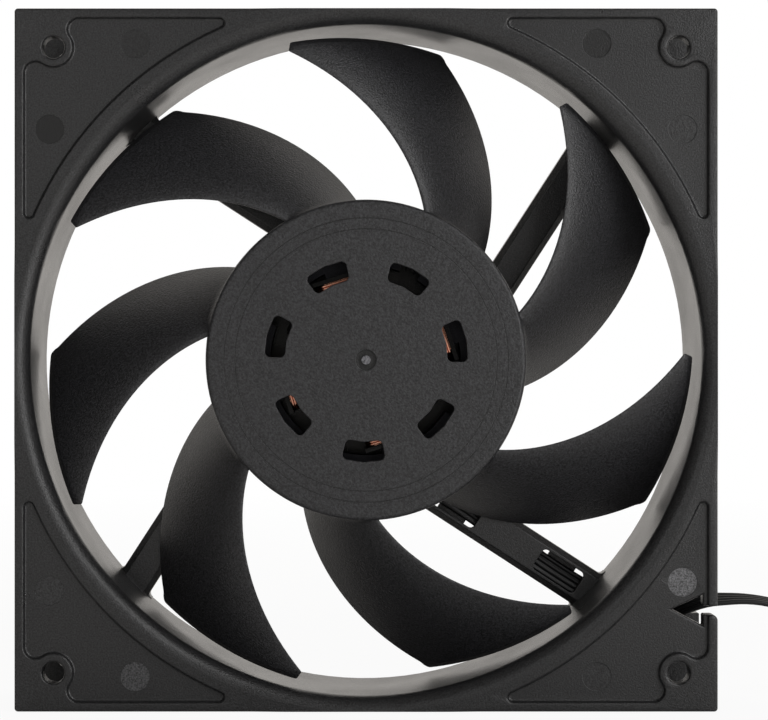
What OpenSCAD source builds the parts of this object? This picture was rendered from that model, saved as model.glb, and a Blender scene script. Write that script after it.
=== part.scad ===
/* [Frame] */
// Width and height of the square frame
frame_w = 140; // [130:1:160]
// Depth of the frame along the fan axis
frame_d = 27; // [26:0.5:32]
// Thickness of the front and back flanges
flange_t = 4; // [3.5:0.25:5]
// Least width of a flange, between the duct and a side
rim_w = 2.8; // [2.6:0.1:4]
// Wall thickness of the duct between the flanges
duct_wall = 2.4; // [1.6:0.1:2.6]
// Radius of the rounded lip at the duct's mouth
lip_r = 3.2; // [2.5:0.1:3.4]
// Radius of the frame's outer corners
corner_r = 0.7; // [0.3:0.1:2]

/* [Mounting holes] */
// Distance from a hole's centre to the two nearest sides
hole_inset = 7.75; // [7:0.25:9]
// Diameter of the mounting holes
hole_d = 4.4; // [3.5:0.1:5]

/* [Corner panels] */
// Depth of the recessed corner panels
recess_depth = 1; // [0.5:0.1:1.5]
// Width of the rim left along the sides
recess_rim = 1.9; // [1.5:0.1:2.5]
// Width of the flat ring left round the lip
lip_land = 1.8; // [1:0.1:2.5]
// Radius of the raised pad round each hole
pad_r = 3.9; // [3.2:0.1:4.5]
// Radius of the fillets that join a pad to the rim
pad_fillet_r = 2.3; // [1.5:0.1:2.6]
// Radius at the pointed ends of a panel
panel_tip_r = 1; // [0.4:0.1:1.3]
// Diameter of the ejector pin marks in the panels
mark_d = 5.8; // [4:0.1:6.4]
// Depth of the ejector pin marks
mark_depth = 0.12; // [0.05:0.01:0.3]
// Distance of a mark's centre from the nearest side
mark_inset = 6.9; // [6:0.1:8]
// Distance of a mark's centre from the next side
mark_along = 24; // [22:0.5:26]
// How far the mark next to the cable notch is moved away from it
mark_shift = 1.7; // [0:0.1:3]

/* [Cable notch] */
// Height of the notch's point above the bottom of the frame
notch_z = 20.3; // [18:0.1:24]
// Distance of the notch's point from the side
notch_reach = 9; // [7:0.1:10]
// Rise of the notch above its point
notch_rise = 2.9; // [2:0.1:4]
// Drop of the notch below its point
notch_drop = 3.3; // [2:0.1:4]
// Width of the two fingers that close the notch
finger_w = 2.8; // [2.5:0.1:4]
// Gap between the two fingers
finger_gap = 1.7; // [1.2:0.1:2.4]
// Radius at the lower finger's end
finger_r = 1.2; // [0.5:0.1:1.6]

/* [Struts] */
// Thickness of the struts along the fan axis
strut_t = 4.8; // [4:0.1:6]
// Width of a plain strut
strut_w = 7.4; // [5:0.1:9]
// Width of the strut that carries the cable
cable_strut_w = 8.5; // [7.6:0.1:10]
// Distance of a strut's middle line from the fan axis
strut_offset = 15; // [12:0.1:17]
// Direction of the first strut, counterclockwise from the right
strut_angle = 57; // [50:1:64]
// Chamfer along the front edges of the struts
strut_chamfer = 1.2; // [0.4:0.1:1.6]
// Radius of the fillets where the struts meet the duct
strut_fillet = 1; // [0.4:0.1:1.6]
// Width of the cable channel in its strut
channel_w = 5.6; // [5.2:0.1:6]
// Thickness of the channel's roof
channel_roof = 1.2; // [0.8:0.1:1.6]
// Length of each window in the channel's roof
window_len = 10.2; // [7:0.1:12]
// Width of each window in the channel's roof
window_w = 5; // [4:0.1:5.2]
// Distance between the same ends of the two windows
window_pitch = 25; // [20:0.5:28]
// Distance from the outer window to the duct
window_gap = 2.4; // [1.5:0.1:4]
// Length of the clip behind each window
clip_len = 6.6; // [4:0.1:8]
// Thickness of the clip behind each window
clip_t = 1; // [0.6:0.1:1.2]

/* [Motor base] */
// How far the base reaches past the hub, on its radius
base_over = 0.4; // [0:0.1:1]
// Thickness of the base plate
base_t = 2; // [1.6:0.1:2.4]
// Height of the rim above the base plate
base_rim_h = 2.6; // [2:0.1:2.8]
// Thickness of the base's rim
base_rim_t = 1.6; // [1.2:0.1:2]
// Depth of the round recess in the back of the base
base_recess = 0.5; // [0.2:0.1:0.8]
// Width of the ring round that recess
base_ring_w = 3; // [2:0.1:5]
// Wall thickness of the boss that holds the bearing tube
boss_wall = 1.9; // [1.5:0.1:2.4]
// Height of that boss above the base plate
boss_h = 4; // [3.4:0.1:5]

/* [Impeller] */
// Radius of the hub
hub_r = 32.1; // [31.6:0.1:36]
// Distance of the hub's face behind the front of the frame
hub_setback = 1.5; // [0.5:0.1:3]
// Thickness of the hub's face
hub_face_t = 1.8; // [1.4:0.1:2.4]
// Wall thickness of the hub's skirt
hub_wall = 1.8; // [1.4:0.1:2.2]
// Radius of the hub's front edge
hub_edge_r = 0.9; // [0.5:0.1:1.8]
// Running gap between the hub's skirt and the struts
skirt_gap = 0.7; // [0.5:0.1:1.5]
// Number of blades
blade_count = 7; // [5:1:9]
// Gap between the blade tips and the duct
tip_gap = 1.7; // [1:0.1:4]
// Angle that a blade covers round the axis at the hub
blade_chord = 27.9; // [20:0.1:36]
// Growth of that angle, in degrees for each millimetre of radius
blade_widen = 0.048; // [0:0.002:0.1]
// Forward sweep of a blade, in degrees for each millimetre of radius
blade_sweep = 1.118; // [0.4:0.01:1.4]
// Angle of the first blade's leading edge at the hub
blade_phase = 17.3; // [0:0.1:51]
// Distance of the leading edges behind the front of the frame
blade_setback = 2.7; // [2:0.1:5]
// Running gap between the trailing edges and the struts
blade_gap = 1.7; // [1.2:0.1:4]
// Height of a blade's camber as a share of its axial length
blade_camber = 0.08; // [0:0.01:0.12]
// Thickness of a blade at the hub
blade_root_t = 2.3; // [1.6:0.1:3]
// Thickness of a blade at its tip
blade_tip_t = 1.5; // [1:0.1:2.4]
// Thickness of a blade's trailing edge
blade_edge_t = 0.7; // [0.4:0.1:1]
// Width of the band that falls away along a blade's tip
tip_band = 0.9; // [0.4:0.1:1.6]
// Radius of a blade's corner between leading edge and tip
lead_corner_r = 0.8; // [0.6:0.1:2]
// Radius of a blade's corner between trailing edge and tip
trail_corner_r = 1.2; // [1.2:0.1:3]
// Thickness of the ribs inside the hub's skirt
hub_rib_t = 1; // [0.6:0.1:1.6]
// Inner radius of the vent slots in the hub
slot_in = 16.4; // [14:0.1:18]
// Outer radius of the vent slots in the hub
slot_out = 20.4; // [19:0.1:21]
// Angle that a vent slot covers
slot_angle = 25; // [15:1:35]
// Angle of the first vent slot
slot_phase = 11.4; // [0:0.1:51]
// Corner radius of the vent slots
slot_corner = 1; // [0.4:0.1:1.4]
// Radius of the inner fine line round the hub's face
inner_line_r = 26.2; // [24:0.1:27]
// Radius of the outer fine line round the hub's face
outer_line_r = 28.4; // [27.4:0.1:30]
// Width of the fine lines
line_w = 0.2; // [0.15:0.05:0.4]
// Depth of the fine lines
line_depth = 0.06; // [0.05:0.01:0.3]
// Radius of the moulding gate's dimple in the hub's middle
gate_r = 2.1; // [1.5:0.1:3]
// Depth of the dimple
gate_depth = 0.8; // [0.2:0.1:1]
// Radius of the nub in the dimple
gate_nub_r = 0.9; // [0.4:0.1:1.2]

/* [Bearing] */
// Diameter of the shaft
shaft_d = 3; // [2.4:0.1:3.6]
// Radial running clearance of the shaft in its sleeve
running_gap = 0.03; // [0.01:0.01:0.1]
// Outer diameter of the bearing sleeve
sleeve_d = 8; // [7:0.1:8.4]
// Length of the bearing sleeve
sleeve_len = 12.6; // [10:0.1:13]
// Wall thickness of the bearing tube
tube_wall = 1; // [0.8:0.1:1.2]
// Length of the bearing tube
tube_len = 17.5; // [16.5:0.1:17.8]
// Thickness of the cap that closes the tube
cap_t = 1; // [0.8:0.1:1.2]
// Thickness of the thrust pad
pad_t = 0.8; // [0.5:0.1:1]
// Gap between the shaft's end and the thrust pad
end_gap = 0.1; // [0.05:0.05:0.3]
// Thickness of the shaft's retaining clip
retainer_t = 0.4; // [0.3:0.05:0.5]
// Play of the retaining clip below the sleeve
retainer_play = 0.45; // [0.3:0.05:0.8]
// Thickness of the oil seal
seal_t = 0.6; // [0.4:0.1:0.8]
// Diameter of the brass bush moulded into the hub
bush_d = 6.8; // [5.6:0.1:7.4]
// Length of the brass bush
bush_len = 4.4; // [3:0.1:4.6]
// Gap left between pieces that are pressed or glued together
fit_gap = 0.04; // [0.02:0.01:0.06]

/* [Motor] */
// Outer radius of the stator
stator_r = 22; // [21:0.1:22.6]
// Gap between stator and magnet
air_gap = 0.5; // [0.35:0.05:0.8]
// Height of the stator's core
core_h = 7; // [6:0.5:8]
// Width of a stator tooth
tooth_w = 5; // [4:0.1:5.4]
// Radial thickness of a tooth's shoe
shoe_t = 2.6; // [2:0.1:3]
// Angle that a shoe covers
shoe_angle = 78; // [66:1:82]
// Direction of the first coil
coil_phase = 18; // [0:1:89]
// Wall thickness of the bobbins
bobbin_wall = 0.8; // [0.6:0.1:1]
// Radial thickness of a bobbin's flanges
bobbin_flange = 0.9; // [0.7:0.1:1.1]
// Distance from the axis to the coils
coil_in = 8.5; // [8.2:0.1:9]
// Length of the coils along their teeth
coil_len = 8.6; // [8:0.1:8.8]
// Thickness of a coil's inner layers
coil_build = 1.2; // [0.8:0.1:1.3]
// Diameter of the wire drawn in a coil's outer layer
wire_d = 0.75; // [0.6:0.05:0.75]
// Number of turns in a coil's outer layer
coil_turns = 4; // [3:1:4]
// Radial thickness of the magnet ring
magnet_t = 2.4; // [2:0.1:2.8]
// Height of the magnet ring
magnet_h = 13; // [11:0.5:13.5]
// Wall thickness of the steel yoke
yoke_t = 1.2; // [0.8:0.1:1.5]
// How far the yoke reaches past the magnet towards the board
yoke_over = 0.4; // [0:0.1:0.5]
// Thickness of the ring wall that holds the yoke
yoke_ring_t = 2; // [1.2:0.1:2]

/* [Circuit board] */
// Radius of the circuit board
board_r = 24; // [23.6:0.1:25]
// Thickness of the circuit board
board_t = 1.2; // [0.8:0.1:1.6]
// Height of the circuit board above the base plate
board_rise = 1.6; // [1.4:0.1:1.8]
// Height of the Hall sensor
sensor_h = 0.8; // [0.6:0.1:0.9]
// Height of the driver chip
chip_h = 1.1; // [0.8:0.1:1.3]
// Height of the small parts on the board
small_h = 0.7; // [0.4:0.1:0.9]
// Radius of the winding pins
pin_r = 0.3; // [0.25:0.05:0.4]
// Distance of the winding pins from the axis
pin_ring = 8.6; // [8.4:0.1:8.8]

/* [Cable] */
// Number of wires in the flat cable
wire_count = 4; // [3:1:4]
// Distance between wires of the flat cable, which is its thickness too
wire_pitch = 1.1; // [0.9:0.05:1.15]
// Height of the cable above the back of the frame while in its strut
cable_rise = 2.2; // [2:0.1:2.4]
// Distance of the cable's inner end along its strut
cable_start = 16.4; // [16:0.1:17.4]
// Height of the cable's lower edge above the floor while folded
coil_lift = 0.5; // [0.5:0.1:1]
// Radius of the outermost loop at the folded cable's ends
coil_r = 12.8; // [12.6:0.1:13.4]
// Distance between loops of the folded cable
coil_pitch = 1.9; // [1.7:0.1:2]
// Length of the straight runs of the folded cable
hank_run = 34; // [30:1:44]
// Width of the cable tie
tie_w = 3; // [2:0.5:5]
// Thickness of the cable tie
tie_t = 0.4; // [0.3:0.05:0.4]
// Distance between contacts in the connector
contact_pitch = 2.54; // [2.5:0.01:2.6]
// Length of the connector
plug_len = 14; // [12:0.5:15]
// Height of the connector
plug_h = 5.8; // [5:0.1:6]
// Width of a contact in the connector
contact_w = 1.7; // [1.4:0.1:1.9]
// Wall thickness of a contact
contact_wall = 0.35; // [0.2:0.05:0.5]
// Height of the guide ribs on the connector
plug_rib_h = 0.9; // [0.5:0.1:1.2]
// Width of the guide ribs on the connector
plug_rib_w = 1.2; // [0.8:0.1:1.6]

/* [Hidden] */
$fn = 96;
over = 0.5;
front = frame_d / 2;
back = -frame_d / 2;
half_w = frame_w / 2;
duct_r = half_w - rim_w;
land_r = duct_r + lip_r + lip_land;
hole_at = half_w - hole_inset;
panel_half = half_w - recess_rim;
gap_drop = 0.6;

// Struts run along x in their own turned frame, at y = -strut_offset
cable_turn = strut_angle - 90;
strut_reach = duct_r + duct_wall / 2;
strut_end = sqrt(pow(duct_r, 2) - pow(strut_offset, 2));
outer_window = strut_end - window_gap - window_len;
window_starts = [outer_window - window_pitch, outer_window];
window_corner = 1;
channel_h = strut_t - channel_roof;
wire_bend = 1;
channel_start = cable_start - 2.2 * wire_bend;
flange_cut = sqrt(pow(duct_r + duct_wall, 2) - pow(strut_offset, 2));
channel_past = 13.4;
channel_end = strut_end + channel_past;

// Heights along the axis, from the back of the frame to its front
base_r = hub_r + base_over;
board_bottom = back + base_t + board_rise;
board_top = board_bottom + board_t;
board_gap = 0.3;
solder_gap = 0.1;
solder_end = 0.4;
strand_r = 0.25;
post_r = 1.2;
post_turn = 30;
post_at = board_r - 5;
boss_top = back + base_t + boss_h;
tube_in = sleeve_d / 2 + fit_gap;
tube_r = tube_in + tube_wall;
tube_hole = tube_r + fit_gap;
tube_bottom = back + base_recess;
tube_top = tube_bottom + tube_len;
pad_bottom = tube_bottom + cap_t;
shaft_bottom = pad_bottom + pad_t + end_gap;
end_height = 0.6;
groove_depth = 0.35;
clip_reach = 1;
retainer_bottom = shaft_bottom + end_height;
sleeve_bottom = retainer_bottom + retainer_t + retainer_play;
hub_front = front - hub_setback;
hub_under = hub_front - hub_face_t;
skirt_bottom = back + strut_t + skirt_gap;
hub_boss_bottom = tube_top + skirt_gap;
hub_boss_r = bush_d / 2 + boss_wall;
bush_cover = 0.4;
bush_top = hub_under - bush_cover;
bush_bottom = bush_top - bush_len;

// The seal and the sleeve stay below the bush in a shallower frame
seal_gap = 0.2;
seal_room = 0.3;
bush_gap = 0.3;
sleeve_room = bush_bottom - bush_gap - seal_t - seal_gap - sleeve_bottom;
sleeve_top = sleeve_bottom + min(sleeve_len, sleeve_room);
seal_bottom = sleeve_top + seal_gap;

// The stator stands on the boss, and the magnet is level with it
wall_in = tooth_w / 2 + fit_gap;
wall_out = wall_in + bobbin_wall;
layer_in = wall_out + fit_gap;
layer_out = layer_in + coil_build;
core_half = core_h / 2;
rise_in = core_half + fit_gap;
rise_out = rise_in + bobbin_wall;
layer_low = rise_out + fit_gap;
layer_top = layer_low + coil_build;
wire_side = layer_out + fit_gap + wire_d / 2;
wire_top = layer_top + fit_gap + wire_d / 2;
flange_side = wire_side + wire_d;
flange_top = wire_top + wire_d;
coil_mid = boss_top + flange_top;
winding_corner = 1.5;
layer_corner = winding_corner + 0.1;
shoe_gap = 0.5;
shoe_room = sqrt(pow(stator_r - shoe_t - shoe_gap, 2) - pow(flange_side, 2)) - bobbin_flange;
coil_run = min(coil_len, shoe_room - coil_in);
coil_out = coil_in + coil_run;
core_ring_r = coil_in - bobbin_flange - fit_gap;
magnet_in = stator_r + air_gap;
magnet_out = magnet_in + magnet_t;
yoke_in = magnet_out + fit_gap;
yoke_out = yoke_in + yoke_t;
yoke_bottom = coil_mid - magnet_h / 2 - yoke_over;
ring_in = yoke_out + fit_gap;
ring_out = ring_in + yoke_ring_t;
vent_gap = 1.1;
sensor_turn = coil_phase + 45;
lug_r = 1.3;

tip_r = duct_r - tip_gap;
leading_z = front - blade_setback;
trailing_z = back + strut_t + blade_gap;
blade_fall = leading_z - trailing_z;

// The cable's route: [x, y, z, roll], where roll turns its width up from level
cable_w = wire_count * wire_pitch;
coil_z = coil_lift + cable_w / 2;
strut_cable = [
  [cable_start, 0.2], [22, 0.2], [29, 0.5], [36, 0.5], [42, 0.2], [48, -0.2], [54, -0.5], [62, -0.5],
  [68.5, -0.2]
];
lead_steps = [
  [-17.6, 11.2, 18.2, 90], [-14.4, 9.7, 16.3, 78], [-11, 6.9, 16, 62], [-7.4, 4, 17.3, 46],
  [-3.8, 1.6, 19.4, 34], [0, 0.2, 20.7, 27], [4, 0, 21, 20], [8, 0, 21, 14], [12.5, 0, 20.4, 12],
  [17, 0.4, 19, 16], [21.5, 1.8, 16.9, 28], [26, 4.2, 14.4, 44], [30.5, 7.2, 11.9, 60], [35, 10.2, 9.6, 74],
  [39.5, 12.2, 7.3, 84], [44.5, 12.8, 5, 90], [49.5, 12.9, 3.3, 90]
];
coil_x = 54;
coil_loops = 2.25;
loop_rings = 24;
tail_steps = [
  [25, -3.4, 90], [22.8, -6.6, 88], [18.8, -7.9, 80], [14, -7, 62], [9.4, -4.6, 40], [4.8, -2, 18],
  [0.4, -0.4, 4], [-4, 0, 0], [-8, 0, 0]
];
plug_z = plug_h / 2;
coil_centre = [half_w + coil_x, 0];

function strut_point(p) =
  let (c = cos(cable_turn), s = sin(cable_turn), y = p[1] - strut_offset)
  [p[0] * c - y * s, -(back + cable_rise), p[0] * s + y * c + half_w, 90];
function coil_point(k) =
  let (turn = k / loop_rings, r = coil_r - coil_pitch * turn, a = 90 - 360 * turn,
    x = coil_centre[0] + hank_run / 2 * sign(cos(a)))
  [x + r * cos(a), coil_centre[1] + r * sin(a), coil_z, 90];
function tail_point(p, share) =
  [coil_centre[0] + p[0], coil_centre[1] + p[1], coil_z + (plug_z - coil_z) * share, p[2]];

held_part = [for (p = strut_cable) strut_point(p)];
lead_part = [for (p = lead_steps) [half_w + p[0], p[1], p[2], p[3]]];
coil_part = [for (k = [0:coil_loops * loop_rings]) coil_point(k)];
tail_last = len(tail_steps) - 1;
tail_part = [for (k = [0:tail_last]) tail_point(tail_steps[k], min(1, k / (tail_last - 1)))];
route = concat(held_part, lead_part, coil_part, tail_part);
held_last = len(held_part) - 1;
coil_first = held_last + len(lead_part) + 1;
coil_last = coil_first + len(coil_part) - 1;
route_last = len(route) - 1;
plug_at = route[route_last];
plug_front = plug_at[0] - plug_len;
plug_wall = 2;
contact_gap = 0.1;
contact_inset = 0.5;

// The fan is drawn with its axis up and its front on top, then stood on its lower side
module stand() {
  translate([0, 0, half_w]) rotate([90, 0, 0]) children();
}

// A tube with an inner and an outer radius between two heights
module pipe(r_in, r_out, low, high) {
  translate([0, 0, low]) difference() {
    cylinder(r = r_out, h = high - low);
    translate([0, 0, -over]) cylinder(r = r_in, h = high - low + 2 * over);
  }
}

module rod(r, low, high) {
  translate([0, 0, low]) cylinder(r = r, h = high - low);
}

module block(low, high) {
  translate(low) cube(high - low);
}

// A rectangle with round corners, drawn from its middle
module round_rect(size, r) {
  square([size[0] - 2 * r, size[1]], center = true);
  square([size[0], size[1] - 2 * r], center = true);
  for (x = [-1, 1], y = [-1, 1])
    translate([x * (size[0] / 2 - r), y * (size[1] / 2 - r)]) circle(r);
}

module at_corners() {
  for (x = [0, 1], y = [0, 1]) mirror([x, 0]) mirror([0, y]) children();
}

// The raised pad round the hole of the upper right corner, filleted into the rim
module hole_pad() {
  gap = panel_half - pad_fillet_r - hole_at;
  run = sqrt(pow(pad_r + pad_fillet_r, 2) - pow(gap, 2));
  near = hole_at - run;
  far = panel_half - pad_fillet_r;
  translate([hole_at, hole_at]) circle(pad_r);
  difference() {
    polygon([[near, panel_half], [near, far], [hole_at, hole_at], [far, near], [panel_half, near],
      [half_w, near], [half_w, half_w], [near, half_w]]);
    translate([near, far]) circle(pad_fillet_r);
    translate([far, near]) circle(pad_fillet_r);
  }
}

// The recessed panel of the upper right corner, with its two pointed ends rounded
module corner_panel() {
  tip_y = panel_half - panel_tip_r;
  tip_x = sqrt(pow(land_r + panel_tip_r, 2) - pow(tip_y, 2));
  touch = [tip_x, tip_y] * land_r / (land_r + panel_tip_r);
  difference() {
    polygon([touch, [tip_x, panel_half], [panel_half, panel_half], [panel_half, tip_x],
      [touch[1], touch[0]]]);
    circle(land_r, $fn = 180);
    hole_pad();
  }
  translate([tip_x, tip_y]) circle(panel_tip_r);
  translate([tip_y, tip_x]) circle(panel_tip_r);
}

// The marks of all corners, with the one above the cable notch moved out of its way
module ejector_marks() {
  side = half_w - mark_inset;
  along = half_w - mark_along;
  for (x = [-1, 1], y = [-1, 1]) {
    translate([x * along, y * side]) circle(d = mark_d);
    translate([x * side, y * along + (x > 0 && y < 0 ? mark_shift : 0)]) circle(d = mark_d);
  }
}

// The notch in the right side that lets the cable in between the flanges
module cable_notch() {
  y = notch_z - half_w;
  x = half_w - finger_w;
  low = y - gap_drop * finger_gap;
  polygon([[half_w - notch_reach, y], [x, y + notch_rise], [x, y - notch_drop]]);
  translate([x - over, low]) square([finger_w + 2 * over, finger_gap]);
  translate([half_w - finger_r, low - finger_r]) difference() {
    square(finger_r + over);
    circle(finger_r);
  }
}

// The wider slot behind the notch, in the back flange
module cable_slot() {
  y = notch_z - half_w;
  translate([half_w - notch_reach, y - notch_drop]) square([notch_reach + over, notch_drop + notch_rise]);
}

// A flange with its holes and any cut for the cable
module flange_outline(hole_r) {
  difference() {
    round_rect([frame_w, frame_w], corner_r);
    circle(hole_r, $fn = 180);
    at_corners() translate([hole_at, hole_at]) circle(d = hole_d);
    children();
  }
}

// Half section of the duct: its wall, the rounded lip and the flat ring round the lip
module duct_section() {
  translate([duct_r, back]) square([duct_wall, frame_d - lip_r]);
  translate([duct_r, front - flange_t]) square([lip_r, flange_t - lip_r]);
  translate([duct_r + lip_r, front - flange_t]) square([lip_land, flange_t]);
  intersection() {
    translate([duct_r + lip_r, front - lip_r]) circle(lip_r);
    translate([duct_r, front - lip_r]) square(lip_r);
  }
}

// Half section of the motor base: plate, rim and the boss for the bearing tube
module base_section() {
  translate([tube_hole, back + base_recess]) square([base_r - tube_hole, base_t - base_recess]);
  translate([base_r - base_ring_w, back]) square([base_ring_w, base_t]);
  translate([base_r - base_rim_t, back]) square([base_rim_t, base_t + base_rim_h]);
  translate([tube_hole, back + base_recess]) square([boss_wall, boss_top - back - base_recess]);
}

// A strut with chamfered front edges, and a fillet on each side where it meets the duct
module strut_bar(width) {
  half = width / 2;
  shoulder = strut_t - strut_chamfer;
  rotate([90, 0, 90]) linear_extrude(strut_reach) polygon([
    [-half, 0], [half, 0], [half, shoulder], [half - strut_chamfer, strut_t],
    [strut_chamfer - half, strut_t], [-half, shoulder]
  ]);
  for (side = [0, 1]) {
    wall = sqrt(pow(duct_r, 2) - pow(strut_offset + (2 * side - 1) * half, 2));
    mirror([0, side, 0]) translate([wall - strut_fillet, half, 0]) linear_extrude(shoulder) difference() {
      translate([0, -over]) square([strut_fillet + duct_wall / 2, strut_fillet + over]);
      translate([0, strut_fillet]) circle(strut_fillet);
    }
  }
}

module struts() {
  intersection() {
    for (k = [0:3]) rotate(strut_angle + 90 * k) translate([0, -strut_offset, back])
      strut_bar(k == 3 ? cable_strut_w : strut_w);
    pipe(base_r - base_rim_t / 2, strut_reach, back, back + strut_t);
  }
}

// The open-backed channel of the cable strut, its two windows and the clips left behind them
module cable_channel() {
  rotate(cable_turn) translate([0, -strut_offset, back]) {
    difference() {
      block([channel_start, -channel_w / 2, -over], [channel_end, channel_w / 2, channel_h]);
      for (x = window_starts) translate([x + window_len / 2, 0, 0])
        block([-clip_len / 2, -channel_w, -over], [clip_len / 2, channel_w, clip_t]);
    }
    block([flange_cut, -channel_w / 2, -over], [channel_end, channel_w / 2, flange_t + over]);
    for (x = window_starts)
      translate([x + window_len / 2, 0, channel_h - over]) linear_extrude(channel_roof + 2 * over)
        round_rect([window_len, window_w], window_corner);
  }
}

module board_posts() {
  for (k = [0:2]) rotate(post_turn + 120 * k) translate([post_at, 0, 0])
    rod(post_r, back + base_t - over, board_bottom);
}

// The one-piece moulded frame: two flanges, duct, motor base and struts
module frame() {
  color("#3a3a3c") stand() difference() {
    union() {
      intersection() {
        rotate_extrude($fn = 180) duct_section();
        translate([0, 0, back]) linear_extrude(frame_d) round_rect([frame_w, frame_w], corner_r);
      }
      translate([0, 0, back]) linear_extrude(flange_t) flange_outline(duct_r + duct_wall / 2) cable_slot();
      translate([0, 0, front - flange_t]) linear_extrude(flange_t)
        flange_outline(land_r - lip_land / 2) cable_notch();
      rotate_extrude() base_section();
      struts();
      board_posts();
    }
    translate([0, 0, front - recess_depth]) linear_extrude(recess_depth + over)
      at_corners() corner_panel();
    translate([0, 0, front - recess_depth - mark_depth]) linear_extrude(recess_depth) ejector_marks();
    cable_channel();
  }
}

module bearing_tube() {
  color("#c9a24e") stand() pipe(tube_in, tube_r, tube_bottom, tube_top);
}

module bearing_cap() {
  color("#2c2c2e") stand() rod(tube_in - fit_gap, tube_bottom, pad_bottom);
}

module thrust_pad() {
  color("#d8d2c0") stand() rod(tube_in - fit_gap, pad_bottom, pad_bottom + pad_t);
}

module bearing_sleeve() {
  color("#a8743c") stand()
    pipe(shaft_d / 2 + running_gap, sleeve_d / 2, sleeve_bottom, sleeve_top);
}

module oil_seal() {
  color("#e6e2d6") stand()
    pipe(shaft_d / 2 + seal_room, tube_in - fit_gap, seal_bottom, seal_bottom + seal_t);
}

module at_pins() {
  for (k = [0:3]) rotate(coil_phase + 45 + 90 * k) translate([pin_ring, 0, 0]) children();
}

// Places of the four wires at the cable's inner end, turned into the cable strut
module at_wire_ends() {
  middle = strut_cable[0][1] - strut_offset;
  rotate(cable_turn) for (k = [0:wire_count - 1])
    translate([cable_start, middle + (k - (wire_count - 1) / 2) * wire_pitch, 0]) children();
}

module circuit_board() {
  color("#1b1e1c") stand() difference() {
    pipe(tube_hole + boss_wall + board_gap, board_r, board_bottom, board_top);
    at_pins() rod(pin_r + solder_gap, board_bottom - over, board_top + over);
    at_wire_ends() translate([-wire_bend, 0, 0])
      rod(strand_r + solder_gap, board_bottom - over, board_top + over);
  }
}

// A chip with a row of legs along two sides, standing on the board
module chip(size, legs, pitch) {
  leg = [0.4, 1.2, 0.2];
  translate([0, 0, board_top]) {
    block([-size[0] / 2, -size[1] / 2, leg[2] / 2], [size[0] / 2, size[1] / 2, size[2]]);
    for (k = [0:legs - 1], side = [-1, 1])
      translate([(k - (legs - 1) / 2) * pitch, side * size[1] / 2, leg[2] / 2]) cube(leg, center = true);
  }
}

module hall_sensor() {
  inward = 0.6;
  color("#1c1c1e") stand() rotate(sensor_turn) translate([magnet_in - inward, 0, 0]) rotate(90)
    chip([2.9, 1.6, sensor_h], 2, 1.9);
}

module driver_chip() {
  spot = 15;
  color("#1c1c1e") stand() rotate(sensor_turn + 90) translate([spot, 0, 0])
    chip([4.9, 3.9, chip_h], 4, 1.27);
}

// A row of small parts that lie along the board's radius
module small_parts(turn, count) {
  spot = 16.5;
  apart = 11;
  half = [1, 0.6];
  for (k = [0:count - 1]) rotate(turn + apart * k) translate([spot, 0, board_top])
    block([-half[0], -half[1], 0], [half[0], half[1], small_h]);
}

module board_capacitors() {
  color("#b39b74") stand() small_parts(sensor_turn + 180, 2);
}

module board_resistors() {
  color("#2a2a2c") stand() small_parts(sensor_turn + 256, 3);
}

module at_coils() {
  for (k = [0:3]) rotate(coil_phase + 90 * k) translate([0, 0, coil_mid]) children();
}

// A bar along x that goes round the upper half of a tooth
module tooth_cover(length, side, top) {
  rotate([90, 0, 90]) linear_extrude(length) difference() {
    translate([-side, fit_gap]) square([2 * side, top - fit_gap]);
    translate([-wall_in, 0]) square([2 * wall_in, rise_in]);
  }
}

// Half of the insulator round the stator's teeth, drawn for the upper half, with any lugs on its ring
module bobbin_half(ring_top) {
  ring_low = rise_in + fit_gap;
  translate([0, 0, ring_low]) linear_extrude(ring_top - ring_low) difference() {
    union() {
      circle(core_ring_r);
      for (k = [0:3]) rotate(coil_phase + 90 * k)
        translate([0, -wall_out]) square([coil_in - bobbin_flange, 2 * wall_out]);
      children();
    }
    circle(tube_hole);
  }
  for (k = [0:3]) rotate(coil_phase + 90 * k) {
    translate([coil_in, 0, 0]) tooth_cover(coil_run, wall_out, rise_out);
    for (x = [coil_in - bobbin_flange, coil_out])
      translate([x, 0, 0]) tooth_cover(bobbin_flange, flange_side, flange_top);
  }
}

// The lower insulator also holds the winding pins in four lugs
module lower_bobbin() {
  color("#1f1f21") stand() difference() {
    translate([0, 0, coil_mid]) mirror([0, 0, 1]) bobbin_half(flange_top) at_pins() circle(lug_r);
    at_pins() rod(pin_r + fit_gap, coil_mid - flange_top - over, coil_mid);
  }
}

module upper_bobbin() {
  color("#1f1f21") stand() translate([0, 0, coil_mid]) bobbin_half(rise_out);
}

// A flat wedge that cuts a ring down to a sector
module ring_sector(r, angle) {
  half = angle / 2;
  polygon([[0, 0], 2 * r * [cos(half), -sin(half)], 2 * r * [cos(half), sin(half)]]);
}

// Flat outline of a stator lamination: ring, four teeth and their shoes
module lamination() {
  difference() {
    union() {
      circle(core_ring_r);
      for (k = [0:3]) rotate(90 * k) {
        translate([0, -tooth_w / 2]) square([stator_r - shoe_t / 2, tooth_w]);
        intersection() {
          difference() {
            circle(stator_r);
            circle(stator_r - shoe_t);
          }
          ring_sector(stator_r, shoe_angle);
        }
      }
    }
    circle(tube_hole);
  }
}

module stator_core() {
  color("#37373a") stand() translate([0, 0, coil_mid - core_half]) rotate(coil_phase)
    linear_extrude(core_h) lamination();
}

// The buried layers of each coil, as one solid ring round its tooth
module coil_inner_layers() {
  color("#8a4a22") stand() at_coils() translate([coil_in + fit_gap, 0, 0]) rotate([90, 0, 90])
    linear_extrude(coil_run - 2 * fit_gap) difference() {
      round_rect([2 * layer_out, 2 * layer_top], layer_corner);
      square([2 * layer_in, 2 * layer_low], center = true);
    }
}

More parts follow.
